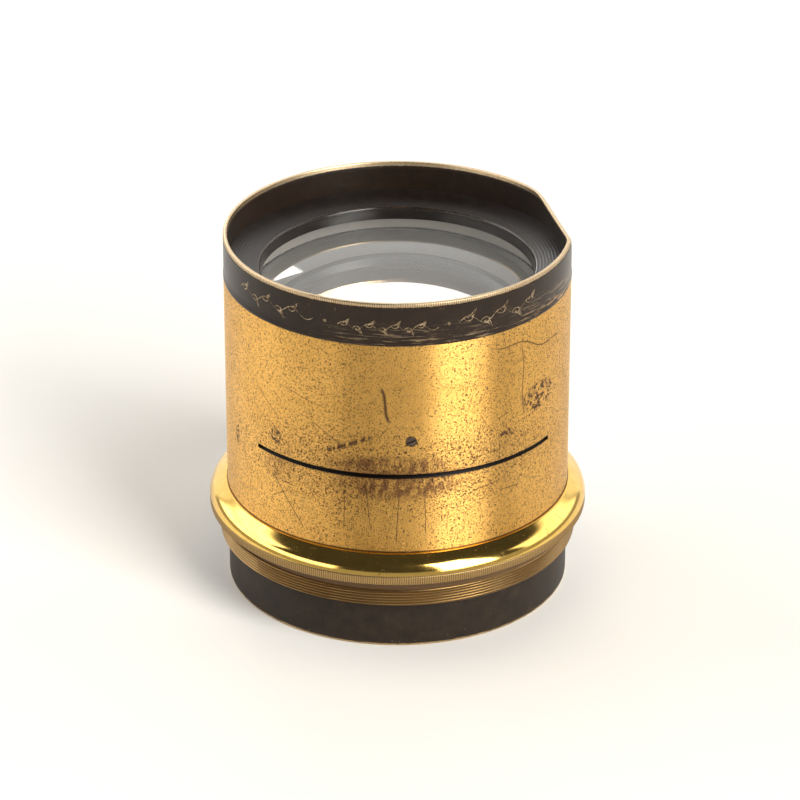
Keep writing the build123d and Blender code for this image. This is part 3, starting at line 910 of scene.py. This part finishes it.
def glass_group(name, body, mirrored, polished, ground):
    """One cemented group as a closed body: two polished faces and a ground edge."""
    columns, rings, edge_rows = 192, 40, 8

    def front_face(r):
        return FRONT_VERTEX - FRONT_FACE_R + math.sqrt(FRONT_FACE_R**2 - r**2)

    def rear_face(r):
        return REAR_VERTEX - REAR_FACE_R + math.sqrt(REAR_FACE_R**2 - r**2)

    def placed(z):
        return (MIRROR - z if mirrored else z) * MM

    radii = [GLASS_R * k / rings for k in range(1, rings + 1)]
    rows = [(r, front_face(r)) for r in radii]
    top_edge = len(rows)
    for k in range(1, edge_rows + 1):
        t = k / edge_rows
        rows.append((GLASS_R, front_face(GLASS_R) * (1 - t) + rear_face(GLASS_FLAT_R) * t))
    side_end = len(rows)
    radii = [GLASS_FLAT_R * (rings - k) / rings for k in range(rings)]
    rows += [(r, rear_face(r)) for r in radii]

    vertices = []
    for r, z in rows:
        vertices += [(r * MM * math.sin(a), -r * MM * math.cos(a), placed(z))
                     for a in np.arange(columns) * TAU / columns]
    top = len(vertices)
    low = top + 1
    vertices += [(0, 0, placed(FRONT_VERTEX)), (0, 0, placed(REAR_VERTEX))]

    POLISHED, GROUND = 0, 1
    faces, kinds = [], []
    for j in range(columns):
        faces.append((top, j, (j + 1) % columns))
        kinds.append(POLISHED)
    for i in range(len(rows) - 1):
        here, below = i * columns, (i + 1) * columns
        for j in range(columns):
            k = (j + 1) % columns
            faces.append((here + j, below + j, below + k, here + k))
            kinds.append(GROUND if top_edge - 1 <= i < side_end else POLISHED)
    last = (len(rows) - 1) * columns
    for j in range(columns):
        faces.append((last + j, low, last + (j + 1) % columns))
        kinds.append(POLISHED)
    if mirrored:
        faces = [face[::-1] for face in faces]
    nodes = [f"{'rear' if mirrored else 'front'}_glass_{i}" for i in range(1, 5)]
    obj = new_object(name, vertices, faces, body, "optical_glass", *nodes)
    obj.data.materials.append(polished)
    obj.data.materials.append(ground)
    obj.data.polygons.foreach_set("material_index", kinds)
    return smooth(obj, 30)


def scrollwork():
    """Three groups of scrolls cut through the lacquer of the band. They are ornament, not lettering."""
    vertices, faces = [], []
    radius = HOOD_R + 0.02 * MM

    def stroke(path, widths):
        """A flat line along (s, z) points: s is millimetres round the band and z is height."""
        start = len(vertices)
        path = np.array(path)
        tangent = np.gradient(path, axis=0)
        tangent /= np.linalg.norm(tangent, axis=1)[:, None]
        normal = np.stack([-tangent[:, 1], tangent[:, 0]], 1)
        for point, side, width in zip(path, normal, widths):
            for edge in (-1, 1):
                s, z = point + side * width * edge / 2
                a = s / GIRTH
                vertices.append((radius * math.sin(a), -radius * math.cos(a), z * MM))
        for i in range(len(path) - 1):
            k = start + 2 * i
            faces.append((k, k + 2, k + 3, k + 1))

    def curl(s, z, size, turns, up, thick):
        """A spiral that starts at (s, z) and winds inwards; up is 1 or -1."""
        t = np.linspace(0, 1, 70)
        reach = size * (1 - 0.80 * t)
        turn = t * turns * TAU
        path = np.stack([s + size - reach * np.cos(turn), z + up * reach * np.sin(turn) * 0.8], 1)
        stroke(path, thick * np.sin(np.pi * (t * 0.92 + 0.05)) + 0.07)

    def leaf(s, z, length, rise, thick):
        t = np.linspace(0, 1, 18)
        path = np.stack([s + length * t, z + rise * t**1.6], 1)
        stroke(path, thick * np.sin(np.pi * t) + 0.04)

    def stem(first, last, z, swing, period, thick):
        s = np.linspace(first, last, int((last - first) * 5))
        wave = z + swing * np.sin((s - first) * TAU / period)
        width = thick * (0.55 + 0.45 * np.cos((s - first) * TAU / period)) + 0.05
        stroke(np.stack([s, wave], 1), width)

    def group(first, last, z, swing, period, size):
        """A wavy stem with a curl and two leaves at every half wave."""
        stem(first, last, z, swing, period, 0.17)
        count = int((last - first) / (period / 2))
        for k in range(count):
            s = first + (k + 0.25) * period / 2
            up = 1 if k % 2 == 0 else -1
            height = z + swing * math.sin((s - first) * TAU / period)
            curl(s, height, size, 1.15, -up, 0.24)
            leaf(s + 0.6 * size, height, 1.5 * size, up * 1.3 * size, 0.30)
            leaf(s + 1.4 * size, height - up * 0.3, 0.9 * size, up * 1.7 * size, 0.20)

    group(-57.0, -27.5, 101.8, 1.3, 10.0, 1.45)
    group(-20.0, 8.5, 101.0, 1.0, 7.2, 1.15)
    group(14.5, 41.0, 101.4, 1.5, 10.6, 1.65)
    for s in (-23.8, 11.5):
        curl(s - 0.5, 101.4, 0.55, 1.6, 1, 0.18)
    obj = new_object("scroll_engraving", vertices, faces, "front_cell", "ring_brass")
    thick = obj.modifiers.new("thick", "SOLIDIFY")
    thick.thickness = 0.02 * MM
    thick.offset = 0
    apply_modifiers(obj)
    return smooth(obj)


# ---------------------------------------------------------------- build
def dress(obj, material):
    obj.data.materials.clear()
    obj.data.materials.append(material)


polished_glass = optical_glass()
ground_glass = ground_edge()
black = inner_black()
dress(barrel_tube(), lacquered_brass())
dress(mount_ring(), ring_brass())
dress(front_hood(), black_lacquer())
dress(front_cell(), cell_lacquer())
dress(rear_cell(), worn_black())
dress(screws(), dark_screw())
dress(scrollwork(), engraved_brass())
glass_group("front_group_glass", "front_group", False, polished_glass, ground_glass)
glass_group("rear_group_glass", "rear_group", True, polished_glass, ground_glass)
for name in ("front_retaining_ring", "rear_retaining_ring", "stop_plate_front", "stop_plate_rear",
             "stop_rail", "stop_carrier_ring"):
    dress(frame["nodes"][name], black)
dress(frame["nodes"]["stop_plate_screws"], inner_brass())


# ---------------------------------------------------------------- stage, lights, camera
def floor_material():
    g = Graph("floor")
    cloud = g.noise(g.position, 0.004, 2.0)
    colour = g.ramp(cloud, [(0.3, (0.82, 0.80, 0.755)), (0.7, (0.85, 0.83, 0.785))])
    return g.surface(colour, 0.6, 0.0)


ROOM_LIGHT = 1.30
DARK_LIGHT = 0.06
# the room's panels, each laid over the ones before it: strength, then left and right azimuth, low and
# high height, and the width of the edge, all in degrees
PANELS = [
    (DARK_LIGHT, -142, 138, -90, 130, 3.0),  # the dark side of the room, behind the camera
    (0.45, -142, 138, -90, 18, 3.0),  # its lower part
    (3.3, -140, -41, 13, 29, 2.5),  # wide panel at the left
    (3.3, -140, -92, 30, 48, 2.5),  # its raised far part
    (2.2, 79, 136, 13, 41, 3.0),  # panel at the right
    (9.5, 23, 57, 14, 64, 1.5),  # tall strip, which gives the tube's highlight
    (9.0, -171.8, -168.0, 13.5, 25.5, 0.4),  # small box behind, which shows in the glass
]


def stage():
    bpy.ops.mesh.primitive_plane_add(size=8.0, location=(0, 0, -0.0001))
    floor = bpy.context.object
    floor.name = "floor"
    floor.data.materials.append(floor_material())


def world():
    """A white room with a dark ceiling, dark behind the camera, with panels of light."""
    g = Graph("room", room=True)
    degrees = g.times(g.azimuth, 180 / math.pi)
    height = g.times(g.math("ARCSINE", g.z), 180 / math.pi)

    def panel(left, right, low, high, soft):
        """1 between these azimuths and heights, fading over soft degrees."""
        return g.times(g.steps(degrees, left - soft, left + soft),
                       g.fall(degrees, right - soft, right + soft),
                       g.steps(height, low - soft, low + soft),
                       g.fall(height, high - soft, high + soft))

    light = g.blend(g.steps(height, 58, 66), ROOM_LIGHT, DARK_LIGHT)
    for strength, *extent in PANELS:
        light = g.blend(panel(*extent), light, strength)
    back = g.add("ShaderNodeBackground")
    back.inputs["Color"].default_value = (1.0, 0.985, 0.96, 1.0)
    g.link(light, back.inputs["Strength"])
    g.link(back.outputs[0], g.output.inputs["Surface"])
    bpy.context.scene.world = g.material


def camera():
    """The camera stands 1.2 m away at 26.7 degrees, a little left of the slot's middle."""
    azimuth, elevation, distance = math.radians(-3.5), math.radians(26.7), 1.2
    back = Vector((math.sin(azimuth) * math.cos(elevation), -math.cos(azimuth) * math.cos(elevation),
                   math.sin(elevation)))
    right = Vector((math.cos(azimuth), math.sin(azimuth), 0))
    up = back.cross(right)
    aim = Vector((0, 0, SLOT_HIGH)) + right * 0.74 * MM - up * 1.43 * MM
    data = bpy.data.cameras.new("camera")
    data.sensor_width = 36.0
    data.lens = 185.157
    data.clip_start = 0.01
    obj = bpy.data.objects.new("camera", data)
    obj.location = aim + back * distance
    obj.rotation_euler = back.to_track_quat("Z", "Y").to_euler()
    bpy.context.scene.collection.objects.link(obj)
    bpy.context.scene.camera = obj


stage()
world()
camera()

bpy.context.scene.view_settings.view_transform = "Standard"
